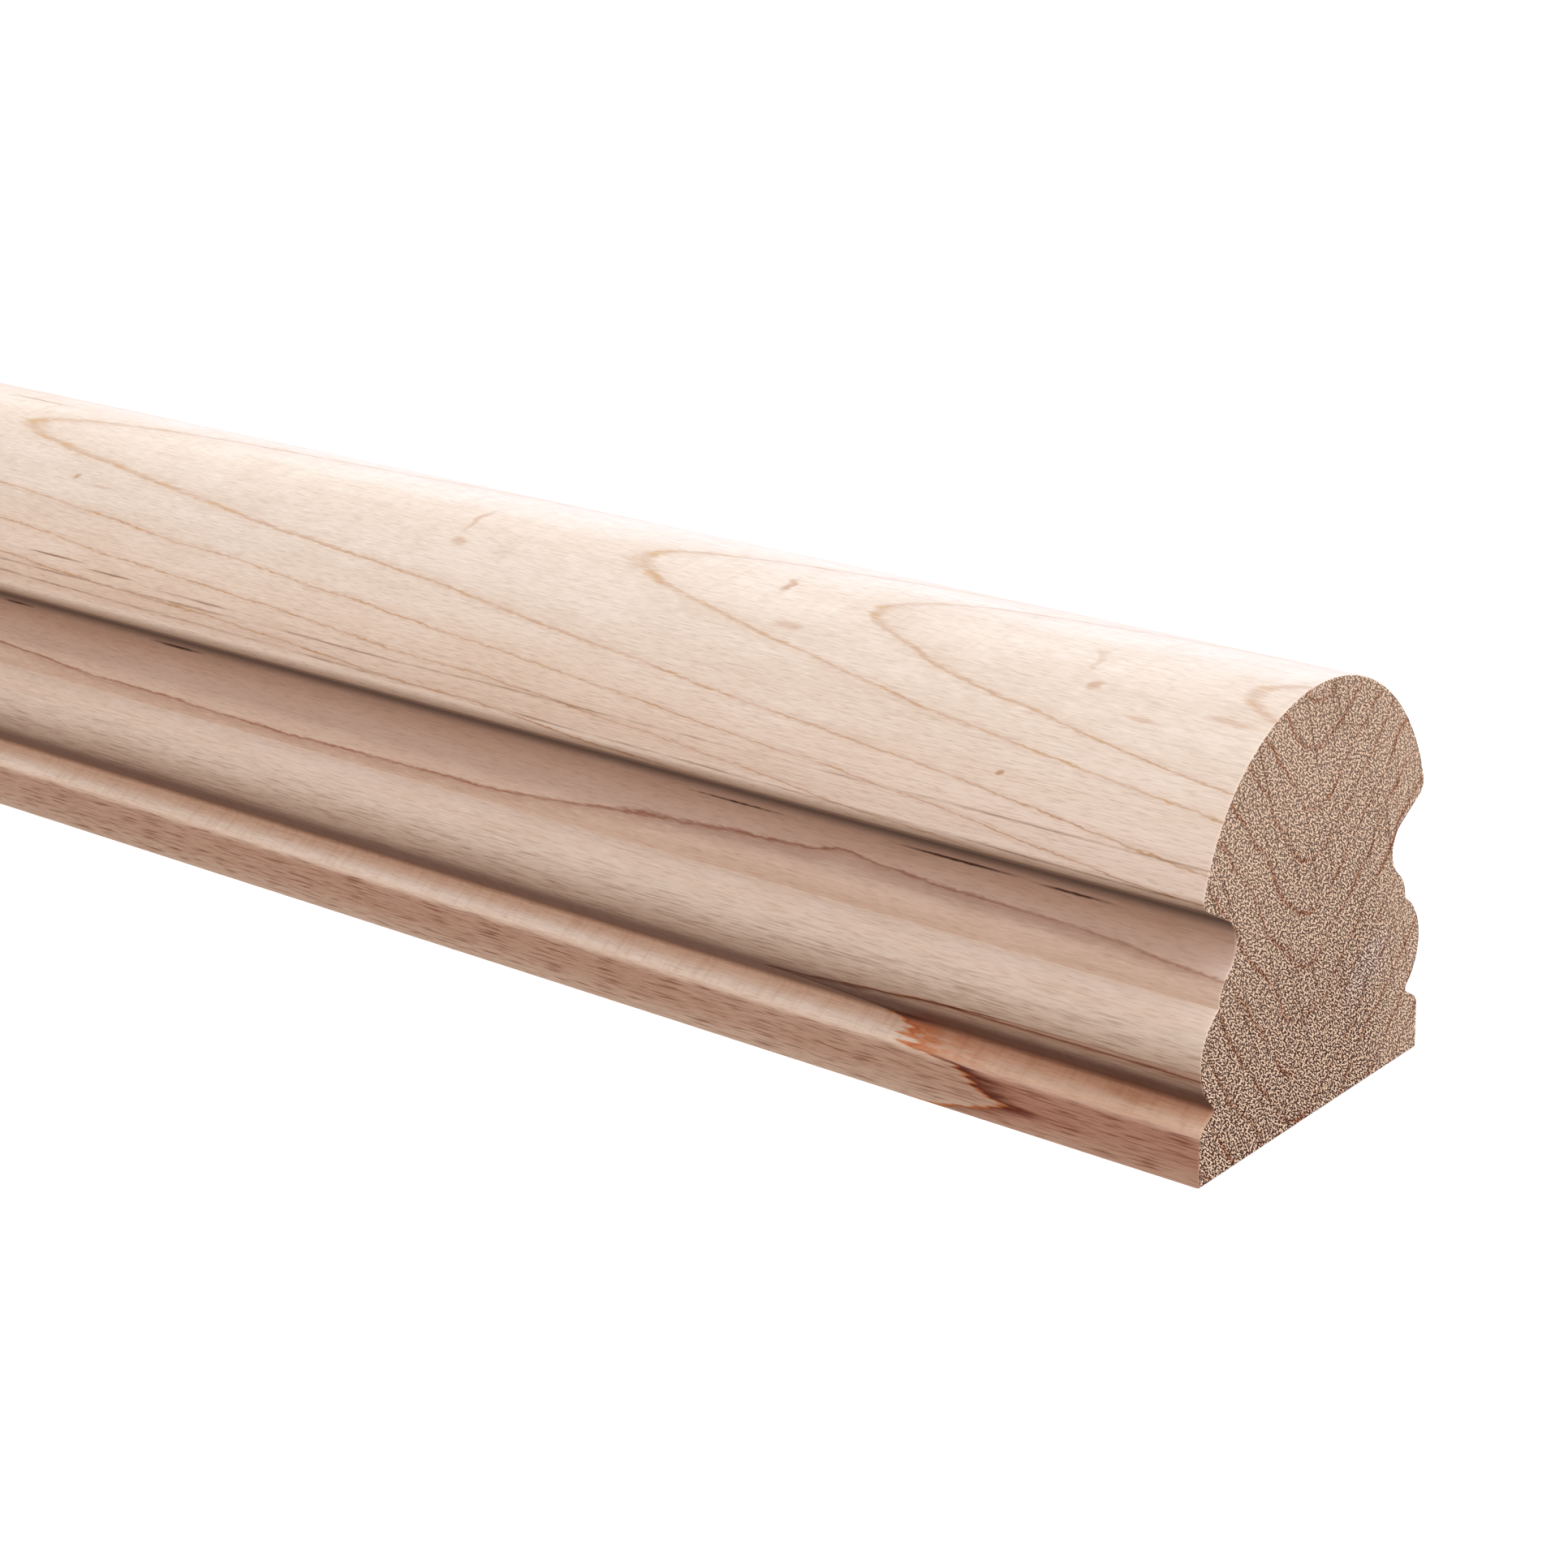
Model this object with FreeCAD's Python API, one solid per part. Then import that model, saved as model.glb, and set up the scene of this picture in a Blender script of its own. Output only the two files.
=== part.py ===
import FreeCAD, Part
import math
import os
from FreeCAD import Vector

# A straight length of moulded wooden stair handrail, in millimetres and degrees.
# The rail runs along X with its flat base on Z = 0, and the origin is under its middle.
length = 2438.4
width = 57.15
height = 63.5

# Base: upright sides, and a shoulder that falls outwards from the quirk.
side_height = 7.75  # up to where the shoulder and the side would meet sharp
corner_radius = 1.85
shoulder_angle = 31.5

# Quirk: the narrow round-bottomed groove between the base and the bead.
quirk_inset = 3.35  # groove bottom, in from the side
quirk_radius = 0.75

# Bead: the half round moulding above the quirk, flush with the sides of the base.
bead_radius = 8.3

# Ogee: a round that stands on the bead and turns into the finger cove.
step_inset = 4.2  # sharp corner where the round lands on the bead, in from the side
round_radius = 5.6
waist_inset = 4.0  # deepest line of the cove, in from the step
cove_radius = 4.6

# Crown: the grip, one arc from lip to lip, undercut for the finger tips.
undercut_angle = 30.5
lip_inset = 0.15  # lip, in from the side
lip_radius = 2.0


def turned(distance, degrees):
    """Step of a given length in the plane of the section, turned up from +Y."""
    angle = math.radians(degrees)
    return Vector(0, distance * math.cos(angle), distance * math.sin(angle))


def heading(start, end):
    """Angle of the way from one point of the section to another, up from +Y."""
    way = end - start
    return math.degrees(math.atan2(way.z, way.y))


def rise(radius, inset):
    """Height an arc gains above its upright tangent while it moves in by the inset."""
    return math.sqrt(inset * (2 * radius - inset))


def arc(centre, radius, start, end):
    """Arc about a centre, between two angles."""
    angles = (start, (start + end) / 2, end)
    return Part.Arc(*[centre + turned(radius, angle) for angle in angles]).toShape()


def line(start, end):
    """Straight edge between two points."""
    return Part.LineSegment(start, end).toShape()


def last_point(edge):
    """Point where an edge of the outline ends."""
    return edge.valueAt(edge.LastParameter)


def first_point(edge):
    """Point where an edge of the outline starts."""
    return edge.valueAt(edge.FirstParameter)


side = width / 2
slope = math.radians(shoulder_angle)
facing_up = 90 - shoulder_angle  # way the shoulder faces
facing_down = undercut_angle - 90  # way the undercut faces

# The corner's arc touches the side and the shoulder.
corner_drop = corner_radius * math.tan(math.radians(facing_up) / 2)
corner_centre = Vector(0, side - corner_radius, side_height - corner_drop)
corner = arc(corner_centre, corner_radius, facing_up, 0)

# The quirk's arc touches the shoulder, and the bead's arc runs on from it.
quirk_y = side - quirk_inset + quirk_radius
quirk_z = side_height + (side - quirk_y) * math.tan(slope) + quirk_radius / math.cos(slope)
quirk_centre = Vector(0, quirk_y, quirk_z)
bead_z = quirk_z + rise(bead_radius + quirk_radius, quirk_inset)
bead_centre = Vector(0, side - bead_radius, bead_z)
to_quirk = heading(bead_centre, quirk_centre)
quirk = arc(quirk_centre, quirk_radius, to_quirk + 180, facing_up + 180)

# The round stands upright on the bead at the step, and the cove's arc runs on from it.
step = Vector(0, side - step_inset, bead_z + rise(bead_radius, step_inset))
bead = arc(bead_centre, bead_radius, heading(bead_centre, step), to_quirk)
round_centre = step - Vector(0, round_radius, 0)
waist_y = step.y - waist_inset
waist_z = step.z + rise(cove_radius + round_radius, waist_inset)
cove_centre = Vector(0, waist_y + cove_radius, waist_z)
to_cove = heading(round_centre, cove_centre)
round_over = arc(round_centre, round_radius, to_cove, 0)
cove = arc(cove_centre, cove_radius, facing_down + 180, to_cove + 180)

# The undercut leaves the cove at its angle, and the lip's arc touches it from above.
over_undercut = cove_centre + turned(cove_radius + lip_radius, facing_down + 180)
lip_y = side - lip_inset - lip_radius
undercut_run = (lip_y - over_undercut.y) / math.cos(math.radians(undercut_angle))
lip_centre = over_undercut + turned(undercut_run, undercut_angle)

# The crown's radius is the one that reaches the full height and touches both lips.
lip_depth = height - lip_centre.z
crown_radius = (lip_y**2 + lip_depth**2 - lip_radius**2) / (2 * (lip_depth - lip_radius))
crown_centre = Vector(0, 0, height - crown_radius)
to_lip = heading(crown_centre, lip_centre)
lip = arc(lip_centre, lip_radius, to_lip, facing_down)
crown = arc(crown_centre, crown_radius, 180 - to_lip, to_lip)

# The outline of one side, from the lip down to the base, and its mirror image.
foot = Vector(0, side, 0)
undercut = line(last_point(lip), first_point(cove))
shoulder = line(last_point(quirk), first_point(corner))
upright = line(last_point(corner), foot)
one_side = [lip, undercut, cove, round_over, bead, quirk, shoulder, corner, upright]
other_side = [edge.mirror(Vector(0, 0, 0), Vector(0, 1, 0)) for edge in one_side]
base = line(foot, Vector(0, -side, 0))

# The section is carried along the full length of the rail.
outline = Part.Wire(Part.__sortEdges__([crown, *one_side, base, *other_side]))
section = Part.Face(outline)
section.translate(Vector(-length / 2, 0, 0))
handrail = section.extrude(Vector(length, 0, 0))

os.makedirs("parts", exist_ok=True)
handrail.exportStep("parts/handrail.step")
box = handrail.BoundBox
print("handrail", handrail.isValid(), len(handrail.Solids), "volume", handrail.Volume)
print("size", box.XLength, box.YLength, box.ZLength, "crown radius", crown_radius)
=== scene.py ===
import math

import bpy
from mathutils import Euler, Matrix, Vector


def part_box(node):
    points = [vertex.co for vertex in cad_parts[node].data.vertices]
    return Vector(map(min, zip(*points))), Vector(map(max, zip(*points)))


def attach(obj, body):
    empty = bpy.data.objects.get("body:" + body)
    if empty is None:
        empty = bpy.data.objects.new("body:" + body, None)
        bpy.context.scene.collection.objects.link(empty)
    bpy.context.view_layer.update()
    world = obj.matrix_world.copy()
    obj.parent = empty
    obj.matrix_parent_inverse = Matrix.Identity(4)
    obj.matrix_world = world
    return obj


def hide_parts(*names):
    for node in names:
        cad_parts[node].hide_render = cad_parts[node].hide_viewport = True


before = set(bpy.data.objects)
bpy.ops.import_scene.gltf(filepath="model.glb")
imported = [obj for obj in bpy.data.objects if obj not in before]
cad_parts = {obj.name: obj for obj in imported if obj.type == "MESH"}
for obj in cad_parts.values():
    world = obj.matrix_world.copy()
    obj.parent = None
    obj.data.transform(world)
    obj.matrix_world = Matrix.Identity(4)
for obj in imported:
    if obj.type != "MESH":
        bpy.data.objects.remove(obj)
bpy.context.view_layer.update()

railLow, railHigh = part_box("handrail")
mm = 0.001
railLength = railHigh[0] - railLow[0]
railWidth = railHigh[1] - railLow[1]
railHeight = railHigh[2] - railLow[2]
nearEnd = railHigh[0]  # the sawn end that the camera looks at
print("frame loaded, rail", [round(size / mm, 2) for size in (railLength, railWidth, railHeight)], "mm")


# sRGB hex to linear colour
def hexColour(code):
    channels = [int(code[place:place + 2], 16) / 255 for place in (0, 2, 4)]
    linear = [c / 12.92 if c <= 0.04045 else ((c + 0.055) / 1.055) ** 2.4 for c in channels]
    return (*linear, 1.0)


# Adds a node, sets its options, then fills its live inputs in order: a node, a socket, a value or None.
def addNode(tree, kind, *inputs, **options):
    node = tree.nodes.new(kind)
    for name, value in options.items():
        setattr(node, name, value)
    sockets = [socket for socket in node.inputs if socket.enabled]
    for socket, value in zip(sockets, inputs):
        if value is None:
            continue
        if isinstance(value, bpy.types.Node):
            value = next(output for output in value.outputs if output.enabled)
        if isinstance(value, bpy.types.NodeSocket):
            tree.links.new(value, socket)
        else:
            socket.default_value = value
    return node


# Shorter names for the node kinds that come up most
maths = "ShaderNodeMath"
vectorMaths = "ShaderNodeVectorMath"
mapRange = "ShaderNodeMapRange"
noise = "ShaderNodeTexNoise"
mix = "ShaderNodeMix"
softly = {"interpolation_type": "SMOOTHSTEP"}
bumpFilter = 0.1

# Section of the rail in millimetres and degrees, from the base up; its overall size comes from the frame
section = {
    "sideHeight": 7.75,
    "cornerRadius": 1.85,
    "shoulderAngle": 31.5,
    "quirkInset": 3.35,
    "quirkRadius": 0.75,
    "beadRadius": 8.3,
    "stepInset": 4.2,
    "roundRadius": 5.6,
    "waistInset": 4.0,
    "coveRadius": 4.6,
    "undercutAngle": 30.5,
    "lipInset": 0.15,
    "lipRadius": 2.0,
    "spacing": 0.6,  # between points round the outline
    "leastSteps": 6,  # on the smallest arcs
}


# A step of a given length in the plane of the section, turned up from +Y
def turned(distance, degrees):
    angle = math.radians(degrees)
    return Vector((distance * math.cos(angle), distance * math.sin(angle)))


def heading(start, end):
    way = end - start
    return math.degrees(math.atan2(way.y, way.x))


# Height an arc gains above its upright tangent while it moves in by the inset
def rise(radius, inset):
    return math.sqrt(inset * (2 * radius - inset))


def arcPoints(centre, radius, start, end):
    steps = math.ceil(abs(math.radians(end - start)) * radius / section["spacing"])
    steps = max(steps, section["leastSteps"])
    return [centre + turned(radius, start + (end - start) * step / steps) for step in range(steps + 1)]


def linePoints(start, end):
    steps = math.ceil((end - start).length / section["spacing"])
    return [start.lerp(end, step / steps) for step in range(steps + 1)]


# Closed outline, crown first, then down the +Y side, under the base and up the other side
def sectionOutline():
    size = section
    side = railWidth / mm / 2
    height = railHeight / mm
    slope = math.radians(size["shoulderAngle"])
    facingUp = 90 - size["shoulderAngle"]
    facingDown = size["undercutAngle"] - 90

    cornerDrop = size["cornerRadius"] * math.tan(math.radians(facingUp) / 2)
    cornerCentre = Vector((side - size["cornerRadius"], size["sideHeight"] - cornerDrop))
    corner = arcPoints(cornerCentre, size["cornerRadius"], facingUp, 0)

    quirkY = side - size["quirkInset"] + size["quirkRadius"]
    quirkZ = size["sideHeight"] + (side - quirkY) * math.tan(slope) + size["quirkRadius"] / math.cos(slope)
    quirkCentre = Vector((quirkY, quirkZ))
    beadZ = quirkZ + rise(size["beadRadius"] + size["quirkRadius"], size["quirkInset"])
    beadCentre = Vector((side - size["beadRadius"], beadZ))
    toQuirk = heading(beadCentre, quirkCentre)
    quirk = arcPoints(quirkCentre, size["quirkRadius"], toQuirk + 180, facingUp + 180)

    step = Vector((side - size["stepInset"], beadZ + rise(size["beadRadius"], size["stepInset"])))
    bead = arcPoints(beadCentre, size["beadRadius"], heading(beadCentre, step), toQuirk)
    roundCentre = step - Vector((size["roundRadius"], 0))
    waistZ = step.y + rise(size["coveRadius"] + size["roundRadius"], size["waistInset"])
    coveCentre = Vector((step.x - size["waistInset"] + size["coveRadius"], waistZ))
    toCove = heading(roundCentre, coveCentre)
    roundOver = arcPoints(roundCentre, size["roundRadius"], toCove, 0)
    cove = arcPoints(coveCentre, size["coveRadius"], facingDown + 180, toCove + 180)

    overUndercut = coveCentre + turned(size["coveRadius"] + size["lipRadius"], facingDown + 180)
    lipY = side - size["lipInset"] - size["lipRadius"]
    undercutRun = (lipY - overUndercut.x) / math.cos(math.radians(size["undercutAngle"]))
    lipCentre = overUndercut + turned(undercutRun, size["undercutAngle"])
    lipDepth = height - lipCentre.y
    crownRadius = (lipY**2 + lipDepth**2 - size["lipRadius"]**2) / (2 * (lipDepth - size["lipRadius"]))
    crownCentre = Vector((0, height - crownRadius))
    toLip = heading(crownCentre, lipCentre)
    lip = arcPoints(lipCentre, size["lipRadius"], toLip, facingDown)
    crown = arcPoints(crownCentre, crownRadius, 180 - toLip, toLip)

    foot = Vector((side, 0))
    oneSide = lip + linePoints(lip[-1], cove[0]) + cove + roundOver + bead + quirk
    oneSide += linePoints(quirk[-1], corner[0]) + corner + linePoints(corner[-1], foot)
    otherSide = [Vector((-point.x, point.y)) for point in reversed(oneSide)]
    outline = []
    for point in crown + oneSide + linePoints(foot, Vector((-side, 0))) + otherSide:
        if not outline or (point - outline[-1]).length > 0.01:
            outline.append(point)
    if (outline[0] - outline[-1]).length < 0.01:
        outline.pop()
    return [point * mm for point in outline]


# Wood as it shows on the planed faces, with painted shade and a painted highlight in places; most names from
# "foot" on are tints laid over the rest
longGrain = {
    "sapwood": "E6D3C4",
    "paleSapwood": "EAD9CC",
    "warmSapwood": "E2CDBD",
    "growthLine": "BE9474",
    "goldLine": "C69857",
    "coveLine": "A26A50",
    "fineLine": "8E6440",
    "curl": "D3B8A4",
    "fleck": "B3957F",
    "paleFleck": "FCF1E7",
    "paleEdge": "F3E4DA",
    # painted highlight along the lip
    "wornLip": "FFF4EA",
    "paleBead": "E6DBD0",
    "foot": "EEDCD5",
    "hatch": "BBA095",
    "chatter": "E2CFC2",
    # painted shade in the cove
    "hollow": "F2EEF5",
    # painted shade under the lip
    "undercut": "84838A",
    # painted shade on the underside of the bead and in the quirk
    "burnish": "9F9396",
    "quirkRed": "FCF2EA",
    "farShade": "F6F6F6",
    "heart": "EFE0DB",
    "heartShoulder": "FFFAF0",
    "heartFlame": "F0B88C",
    "heartQuirk": "DCD1CE",
    "heartFront": "A38680",
    "heartEdge": "BC9888",
    "bruise": "D9BCA4",
    "check": "5C463F",
    "toneStops": (0.5, 0.78, 1.0),  # where the warm, the middle and the pale sapwood lie
    "wander": {"slow": 0.8, "quick": 0.24, "nubs": 0.22},  # how far each kind of streak shifts a line
    "curlGrain": (1.5, 11.0, 1.0),
    "curlSlant": 14.0,
    "blotReach": (4.0, 0.9, 0.9),
    "slitReach": (3.0, 0.16, 0.16),
    "roughness": 0.48,
    "ior": 1.5,
    "bumpStrength": 0.3,
    "bumpDepth": 0.00012,
}

# Streaks of the wood: length and width of one, and how much finer detail
grain = {
    "slow": (30.0, 10.0, 1.0),
    "quick": (6.0, 2.0, 2.0),
    "nubs": (1.4, 0.5, 1.0),
    "patch": (16.0, 5.0, 2.0),
    "gold": (5.0, 2.0, 1.0),
    "tone": (70.0, 6.0, 3.0),
    "mottle": (9.0, 4.0, 2.0),
    "fleck": (2.4, 0.22, 1.0),  # about twice as wide as real ones, or they would not show
    "fibre": (16.0, 0.3, 2.0),
    "footTone": (35.0, 3.0, 1.0),
    "hatch": (6.0, 0.26, 2.0),
    "chatter": (0.8, 6.0, 1.0),
    "flame": (3.0, 0.9, 3.0),
}

# Bands along the rail: the heights where each starts, is full, stops being full and ends
bands = {
    "farShade": (48.0, 56.0, 60.0, 63.2),
    "paleEdge": (39.5, 41.0, 46.0, 52.0),
    # painted highlight along the lip
    "wornLip": (39.3, 39.8, 41.0, 42.6),
    # painted shade under the lip, deepest by the cove
    "shadeBelowLip": (33.6, 36.2, 38.6, 39.4),
    "shadeByCove": (33.6, 36.2, 36.8, 38.6),
    # painted shade in the cove
    "hollow": (27.0, 31.0, 34.5, 36.5),
    "paleBead": (12.5, 15.5, 20.5, 22.5),
    "beadSide": (12.4, 14.0, 18.0, 25.0),
    # painted shade under the bead and in the quirk
    "burnish": (9.3, 11.1, 12.4, 15.5),
    "quirkRed": (8.4, 9.2, 9.9, 10.8),
    "chatter": (7.4, 8.0, 12.5, 14.0),
    "shoulder": (7.2, 7.8, 9.8, 10.4),
    "foot": (0.4, 3.6, 6.4, 7.5),
    "footSide": (0.2, 0.8, 6.9, 7.6),
    "heartTop": (14.0, 15.2, 16.2, 16.4),
    "heartQuirk": (9.4, 10.2, 12.2, 14.2),
}

# Ramps: from and to, in millimetres or in strength of a streak,
# then the shares at either end where they are fixed
ramps = {
    "calm": (50.0, 61.5, 1.0, 0.32),
    "aboveLip": (39.3, 39.8, 0.0, 1.0),
    "underBase": (0.2, 0.05, 0.0, 1.0),
    "lineStrength": (0.34, 0.6, 0.4, 0.9),
    "topLines": (55.0, 62.0),
    "goldStrength": (0.52, 0.68, 0.0, 0.6),
    "fineStrength": (0.38, 0.6, 0.12, 0.7),
    "fineLine": (0.2, 0.04, 0.0, 1.0),
    "fartherOff": (0.0, -200.0, 0.3, 1.0),
    "nearShare": (-120.0, -20.0, 0.0, 0.9),
    "fleck": (0.54, 0.74, 0.0, 0.32),
    "paleFleck": (0.46, 0.28, 0.0, 0.26),
    "fibre": (0.5, 0.75, 0.0, 0.2),
    "onTop": (56.0, 62.0, 0.0, 0.34),
    "curl": (0.46, 0.74, 0.0),
    "footTone": (0.3, 0.7, 0.6, 1.0),
    "hatch": (0.5, 0.7, 0.0),
    "chatter": (0.48, 0.7, 0.0),
    "frontHalf": (0.0, -10.0, 0.0),
    "heartBase": (11.0, 10.2, 0.0, 1.0),
    "heartFront": (1.8, 2.8, 0.3),
    "flame": (0.36, 0.54, 0.2),
    "edgeShown": (-46.0, -41.0, 0.0, 1.0),
    "edgeLine": (0.26, 0.06, 0.0),
}

# How much of a band or a pattern is laid on
shares = {
    "crownShade": 0.15,
    "coveShade": 0.42,
    "topLines": 0.5,
    "fineWander": 0.3,
    "mottle": 0.6,
    "paleBead": 0.7,
    # share of the painted shade under the lip
    "shadeBelowLip": 0.62,
    "beadSide": 0.6,
    "chatter": 0.32,
    "edgeWander": 0.5,
}

# Growth layers lean to the front and climb towards the near end, so the crown cuts them into arches.
# Millimetres, with x from the near end and y and z as in the frame, in all the patterns here.
crownLayers = {
    "lean": 0.253,
    "climb": 0.0533,
    "wave": 1.7,
    "waveLength": 454.0,
    "heights": (34.0, 40.4, 44.1, 47.8, 51.5, 56.7, 59.3, 64.0),  # uneven by this end, even below the first
    "lineWidth": 0.04,  # of a layer
    "shadeWidth": 0.2,
}

# The one layer that shows in the finger cove, a line that swells to a crest with a small peak beside it
coveLayer = {
    "low": 26.2,
    "rise": 3.9,
    "waveLength": 256.0,
    "crest": -58.0,
    "narrowing": 1.6,
    "skew": 3.0,  # it runs slantwise through the rail
    "front": -22.0,
    "peak": -65.5,
    "peakRise": 0.8,
    "peakWidth": 6.0,
    "lineWidth": 0.32,
    "shadeDepth": 1.9,
}

# Fine straight lines low on the crown: height at the near end and climb per mm of length
fineLines = ((45.05, 0.0), (40.6, -0.0113))

# Blemishes: middle, half length along the grain, half width across it, and how dark
spotEdge = (1.0, 0.3, 0.0)  # shares of its reach over which a spot sets in
bruises = (
    ((-233.0, -16.6, 58.4), 1.0, 0.8, 0.9),
    ((-226.0, -17.4, 57.8), 6.0, 0.4, 0.4),
    ((-148.6, -7.0, 62.6), 1.0, 5.0, 0.5),
    ((-147.8, -12.5, 60.7), 2.0, 1.6, 0.6),
    ((-87.0, -6.0, 62.9), 1.3, 3.0, 0.75),
    ((-80.5, -13.9, 60.0), 3.4, 0.9, 0.5),
    ((-31.0, -7.0, 62.6), 1.0, 4.5, 0.35),
    ((-28.5, -12.3, 60.8), 1.6, 1.6, 0.65),
    ((-18.5, -15.9, 58.8), 4.5, 0.6, 0.5),
    ((-5.5, -13.3, 60.3), 6.0, 1.0, 0.5),
    ((-35.7, -24.5, 50.3), 0.7, 0.5, 1.0),
    ((-147.5, -24.9, 23.8), 2.4, 0.4, 0.9),
    ((-12.0, -26.1, 9.0), 6.0, 1.2, 0.4),
)
dashes = (
    ((-263.0, 1.1, 63.4), 11.0, 0.4, 0.6),
    ((-229.0, -26.1, 47.4), 10.0, 0.24, 0.9),
    ((-215.0, -26.5, 46.7), 8.0, 0.24, 0.8),
    ((-191.0, -26.8, 46.1), 7.0, 0.24, 0.7),
    ((-196.0, -26.8, 46.2), 14.0, 0.25, 0.4),
)
checks = (
    ((-246.5, -20.8, 34.6), 5.5, 0.36, 1.0),
    ((-206.0, -20.7, 34.3), 7.5, 0.42, 1.0),
    ((-85.5, -20.6, 33.5), 14.0, 0.3, 1.0),
    ((-45.5, -20.6, 33.8), 15.0, 0.36, 1.0),
    ((-26.0, -20.6, 33.5), 9.0, 0.36, 1.0),
)

# Heart stain at the foot of the near end: how far it reaches back from the end at each height
heartStain = {
    "reach": (
        (0.0, 46.0), (1.5, 38.0), (2.6, 31.0), (4.0, 35.0), (7.0, 41.0), (7.6, 48.0), (10.2, 51.0),
        (11.0, 54.0), (12.9, 74.0), (14.3, 58.0), (15.4, 46.0), (15.9, 38.0), (16.5, 0.0),
    ),
    "top": 18.0,
    "topFade": (16.8, 16.4, 0.0, 1.0),
    "farthest": 80.0,
    "jag": 7.0,
    "jagGrain": (9.0, 0.9, 3.0),
    # ramps and a band by the way in from where it begins
    "inside": (-0.5, 1.0, 0.0),
    "rim": (-1.6, -0.3, 0.3, 1.6),
    "front": (8.0, 1.5, 0.0, 1.0),
    "flame": (16.0, 2.0, 0.0, 1.0),
    "edge": 15.45,  # height of the thin dark line along its top on the bead
}


def newMaterial(name):
    material = bpy.data.materials.new(name)
    material.use_nodes = True
    tree = material.node_tree
    tree.nodes.clear()
    coords = addNode(tree, "ShaderNodeTexCoord").outputs["Object"]
    shader = addNode(tree, "ShaderNodeBsdfPrincipled")
    addNode(tree, "ShaderNodeOutputMaterial", shader)
    inMillimetres = (1 / mm, 1 / mm, 1 / mm)
    place = addNode(tree, "ShaderNodeMapping", coords, (-nearEnd / mm, 0, 0), (0, 0, 0), inMillimetres)
    return material, tree, shader, place


# Streaks of wood, with grains of the given length and width
def woodStreaks(tree, place, length, width, detail):
    stretched = addNode(tree, vectorMaths, place, (1 / length, 1 / width, 1 / width), operation="MULTIPLY")
    return addNode(tree, noise, stretched, 1.0, detail)


# A place shaken by streaks, so that what is drawn there gets ragged edges
def raggedPlace(tree, place, streaks, reach):
    shift = addNode(tree, vectorMaths, streaks.outputs["Color"], (0.5, 0.5, 0.5), operation="SUBTRACT")
    return addNode(tree, vectorMaths, shift, reach, place, operation="MULTIPLY_ADD")


# A band that is full between two values and fades out below and above them
def fadedBand(tree, value, bottom, low, high, top):
    rising = addNode(tree, mapRange, value, bottom, low, 0.0, 1.0, **softly)
    falling = addNode(tree, mapRange, value, top, high, 0.0, 1.0, **softly)
    return addNode(tree, maths, rising, falling, operation="MULTIPLY")


# Lines and soft shade of the crown's growth layers
def crownGrowth(tree, place, wander):
    size = crownLayers
    x, y, z = addNode(tree, "ShaderNodeSeparateXYZ", place).outputs
    leant = addNode(tree, maths, y, -size["lean"], z, operation="MULTIPLY_ADD")
    climbed = addNode(tree, maths, x, size["climb"], leant, operation="MULTIPLY_ADD")
    wavePhase = addNode(tree, maths, x, 2 * math.pi / size["waveLength"], operation="MULTIPLY")
    wave = addNode(tree, maths, wavePhase, operation="SINE")
    waved = addNode(tree, maths, wave, size["wave"], climbed, operation="MULTIPLY_ADD")
    height = addNode(tree, maths, waved, wander, operation="ADD")

    # Number of the layer, from uneven heights
    heights = size["heights"]
    share = addNode(tree, mapRange, height, heights[0], heights[-1], 0.0, 1.0, clamp=False)
    uneven = addNode(tree, "ShaderNodeFloatCurve", 1.0, share)
    uneven.mapping.extend = "EXTRAPOLATED"
    curve = uneven.mapping.curves[0]
    for number, layerHeight in enumerate(heights[1:-1], 1):
        upward = (layerHeight - heights[0]) / (heights[-1] - heights[0])
        curve.points.new(upward, number / (len(heights) - 1))
    for point in curve.points:
        point.handle_type = "VECTOR"
    uneven.mapping.update()
    number = addNode(tree, maths, uneven, len(heights) - 1, operation="MULTIPLY")
    fromLine = addNode(tree, maths, number, 0.5, operation="PINGPONG")
    line = addNode(tree, mapRange, fromLine, size["lineWidth"], 0.0, 0.0, 1.0, **softly)
    shade = addNode(tree, mapRange, fromLine, size["shadeWidth"], 0.0, 0.0, 1.0, **softly)
    return line, shade


# The layer of the cove: a line, and the darker wood below it
def coveGrowth(tree, place, wander):
    size = coveLayer
    x, y, z = addNode(tree, "ShaderNodeSeparateXYZ", place).outputs
    slant = addNode(tree, maths, y, size["skew"], x, operation="MULTIPLY_ADD")
    crest = size["crest"] + size["front"] * size["skew"]
    fromCrest = addNode(tree, maths, slant, crest, operation="SUBTRACT")
    phase = addNode(tree, maths, fromCrest, 2 * math.pi / size["waveLength"], operation="MULTIPLY")
    swing = addNode(tree, mapRange, addNode(tree, maths, phase, operation="COSINE"), -1.0, 1.0, 0.0, 1.0)
    narrowed = addNode(tree, maths, swing, size["narrowing"], operation="POWER")
    waved = addNode(tree, maths, narrowed, size["rise"], size["low"], operation="MULTIPLY_ADD")
    fromPeak = addNode(tree, maths, x, size["peak"], operation="SUBTRACT")
    besidePeak = addNode(tree, maths, fromPeak, operation="ABSOLUTE")
    peak = addNode(tree, mapRange, besidePeak, size["peakWidth"], 0.0, 0.0, size["peakRise"])
    lineHeight = addNode(tree, maths, waved, peak, operation="ADD")
    above = addNode(tree, maths, z, lineHeight, operation="SUBTRACT")
    height = addNode(tree, maths, above, wander, operation="ADD")
    away = addNode(tree, maths, height, operation="ABSOLUTE")
    line = addNode(tree, mapRange, away, size["lineWidth"], 0.0, 0.0, 1.0, **softly)
    fading = addNode(tree, mapRange, height, -size["shadeDepth"], 0.0, 0.0, 1.0)
    below = addNode(tree, maths, height, 0.0, operation="LESS_THAN")
    shade = addNode(tree, maths, fading, below, operation="MULTIPLY")
    return line, shade


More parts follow.
